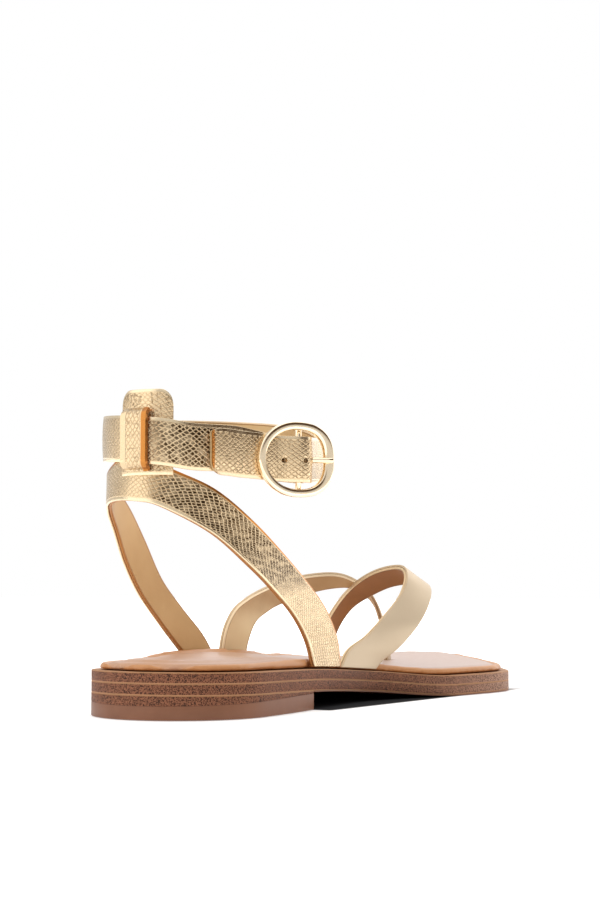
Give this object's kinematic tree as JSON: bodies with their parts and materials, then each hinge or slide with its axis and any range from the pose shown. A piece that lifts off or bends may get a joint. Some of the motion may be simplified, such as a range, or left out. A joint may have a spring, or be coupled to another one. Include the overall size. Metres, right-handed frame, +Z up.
{
  "type": "ankle strap thong sandal",
  "caption": "Flat right-foot sandal with a wrap-around heel strap, a buckled ankle strap, a crossed front strap with a toe post, and a stacked sole with a low heel.",
  "frame": {"origin": "on the floor, under the middle of the heel, in the centre of the heel's resting face", "axes": "+Z up, -Y towards the toe, +X towards the inner side of the foot (a right shoe)"},
  "size_m": [0.0894, 0.2515, 0.0979],
  "materials": {
    "stacked_layer": "stacked brown layers with an open grain on the edge",
    "sole_rubber": "smooth brown rubber",
    "footbed_leather": "nude leather, padded, soft sheen",
    "embossed_gold": "gold foil leather embossed with small scales",
    "smooth_gold": "smooth pale gold leather with a satin sheen",
    "polished_gold": "polished gold-coloured metal"
  },
  "bodies": {
    "root": {"midsole_upper": "stacked_layer", "midsole_lower": "stacked_layer", "heel_lift": "stacked_layer", "outsole": "sole_rubber", "heel_top": "sole_rubber", "insole": "footbed_leather", "heel_strap": "embossed_gold", "keeper": "embossed_gold", "ankle_strap": "embossed_gold", "front_straps": "smooth_gold", "buckle_frame": "polished_gold", "buckle_prong": "polished_gold"}
  },
  "joints": []
}
